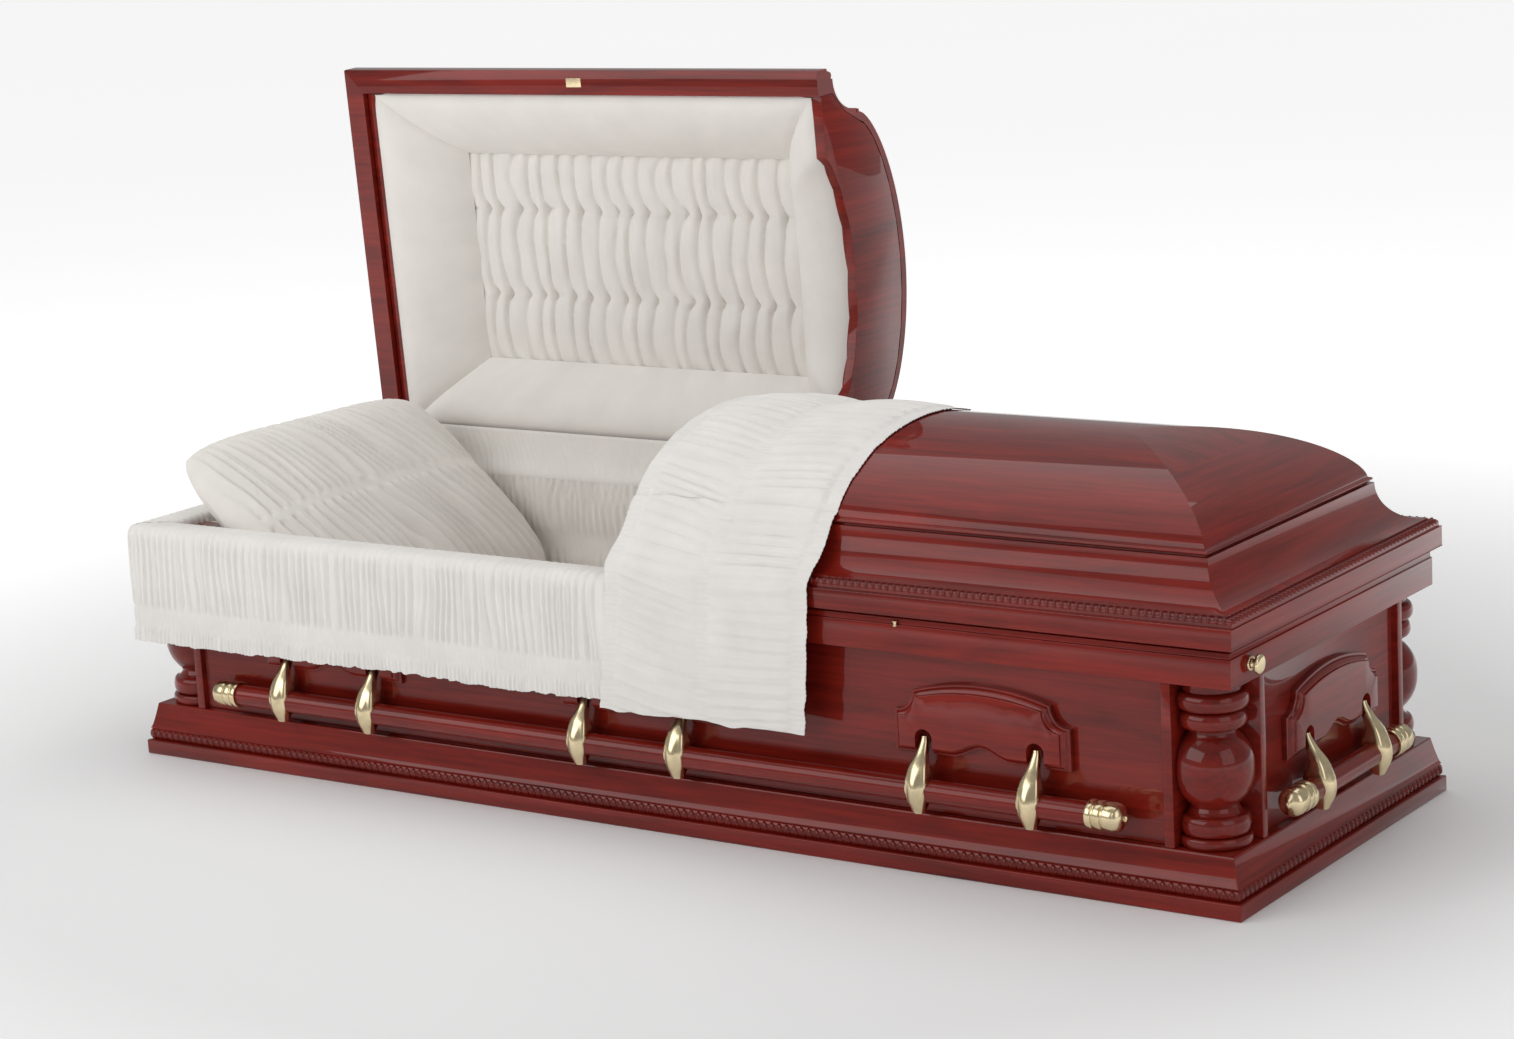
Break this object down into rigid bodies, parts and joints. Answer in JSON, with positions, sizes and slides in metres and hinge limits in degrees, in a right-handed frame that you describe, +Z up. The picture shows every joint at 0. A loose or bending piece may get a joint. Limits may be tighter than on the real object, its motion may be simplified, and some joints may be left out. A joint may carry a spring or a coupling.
{
  "type": "funeral casket",
  "caption": "Carved cherry-finish wooden funeral casket with a split domed lid, head half open, swing-bar handles, turned corner posts and shirred ivory cloth lining.",
  "frame": {"origin": "middle of the underside of the base, which stands on the floor", "axes": "+Z up; +X along the length towards the foot end; +Y towards the hinged back"},
  "size_m": [2.15, 0.9137, 1.1124],
  "materials": {
    "cherry_wood": "high gloss lacquer over cherry stain",
    "antique_brass": "polished antique brass",
    "ivory_cloth": "matt crepe"
  },
  "bodies": {
    "root": {"base": "cherry_wood", "bed": "ivory_cloth", "case": "cherry_wood", "foot_hinge_body_leaf": "antique_brass", "head_hinge_body_leaf": "antique_brass", "locking_knob": "antique_brass", "pillow": "ivory_cloth", "plate_back_foot": "cherry_wood", "plate_back_head": "cherry_wood", "plate_back_middle": "cherry_wood", "plate_foot_end": "cherry_wood", "plate_front_foot": "cherry_wood", "plate_front_head": "cherry_wood", "plate_front_middle": "cherry_wood", "plate_head_end": "cherry_wood", "post_back_foot": "cherry_wood", "post_back_head": "cherry_wood", "post_front_foot": "cherry_wood", "post_front_head": "cherry_wood", "skirt": "ivory_cloth", "top_rail": "cherry_wood", "wall_lining": "ivory_cloth"},
    "head_lid": {"head_lid_shell": "cherry_wood", "head_lid_end_board": "cherry_wood", "head_lid_rolls": "ivory_cloth", "head_lid_panel": "ivory_cloth", "head_hinge_lid_leaf": "antique_brass"},
    "foot_lid": {"foot_lid_shell": "cherry_wood", "foot_lid_end_board": "cherry_wood", "foot_lid_lining": "ivory_cloth", "foot_hinge_lid_leaf": "antique_brass", "throw": "ivory_cloth"},
    "handle_front": {"arm_front_1": "antique_brass", "arm_front_2": "antique_brass", "arm_front_3": "antique_brass", "arm_front_4": "antique_brass", "arm_front_5": "antique_brass", "arm_front_6": "antique_brass", "bar_front": "cherry_wood", "tip_front_1": "antique_brass", "tip_front_2": "antique_brass"},
    "handle_back": {"arm_back_1": "antique_brass", "arm_back_2": "antique_brass", "arm_back_3": "antique_brass", "arm_back_4": "antique_brass", "arm_back_5": "antique_brass", "arm_back_6": "antique_brass", "bar_back": "cherry_wood", "tip_back_1": "antique_brass", "tip_back_2": "antique_brass"},
    "handle_head_end": {"arm_head_end_1": "antique_brass", "arm_head_end_2": "antique_brass", "bar_head_end": "cherry_wood", "tip_head_end_1": "antique_brass", "tip_head_end_2": "antique_brass"},
    "handle_foot_end": {"arm_foot_end_1": "antique_brass", "arm_foot_end_2": "antique_brass", "bar_foot_end": "cherry_wood", "tip_foot_end_1": "antique_brass", "tip_foot_end_2": "antique_brass"}
  },
  "joints": [
    {"name": "head_lid_hinge", "type": "hinge", "parent": "root", "child": "head_lid", "pos_m": [-0.5, 0.355, 0.408], "axis": [1, 0, 0], "range_deg": [0, 86.9], "deforming": ["skirt", "pillow"]},
    {"name": "foot_lid_hinge", "type": "hinge", "parent": "root", "child": "foot_lid", "pos_m": [0.5, 0.355, 0.408], "axis": [-1, 0, 0], "range_deg": [0, 86.9]},
    {"name": "front_handle_swing", "type": "hinge", "parent": "root", "child": "handle_front", "pos_m": [0, -0.3265, 0.198], "axis": [-1, 0, 0], "range_deg": [0, 80], "deforming": ["skirt", "throw"]},
    {"name": "back_handle_swing", "type": "hinge", "parent": "root", "child": "handle_back", "pos_m": [0, 0.3265, 0.198], "axis": [1, 0, 0], "range_deg": [0, 80]},
    {"name": "head_end_handle_swing", "type": "hinge", "parent": "root", "child": "handle_head_end", "pos_m": [-1.029, 0, 0.198], "axis": [0, 1, 0], "range_deg": [0, 80], "deforming": ["skirt"]},
    {"name": "foot_end_handle_swing", "type": "hinge", "parent": "root", "child": "handle_foot_end", "pos_m": [1.029, 0, 0.198], "axis": [0, -1, 0], "range_deg": [0, 80]}
  ]
}
